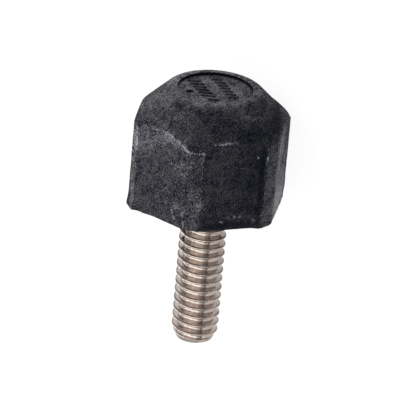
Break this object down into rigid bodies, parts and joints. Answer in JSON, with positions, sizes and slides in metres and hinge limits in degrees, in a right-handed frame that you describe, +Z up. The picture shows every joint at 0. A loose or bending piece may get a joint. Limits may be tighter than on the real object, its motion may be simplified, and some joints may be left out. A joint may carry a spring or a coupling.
{
  "type": "impeller screw",
  "caption": "Left-hand impeller screw: a stainless bolt moulded into a black hexagonal plastic head with a domed top, which locks a pump impeller on its shaft.",
  "frame": {"origin": "on the screw's axis, in the plane of the head's underside", "axes": "+X along the screw's axis from the tip to the head, +Z up, square to the head flat that it lies on, +Y across the corner facets"},
  "size_m": [0.0365, 0.0214, 0.0194],
  "materials": {
    "head_plastic": "satin, dusty and lightly scuffed at the edges",
    "stud_steel": "bright rolled thread"
  },
  "bodies": {
    "root": {"moulded_head": "head_plastic", "threaded_stud": "stud_steel"}
  },
  "joints": []
}
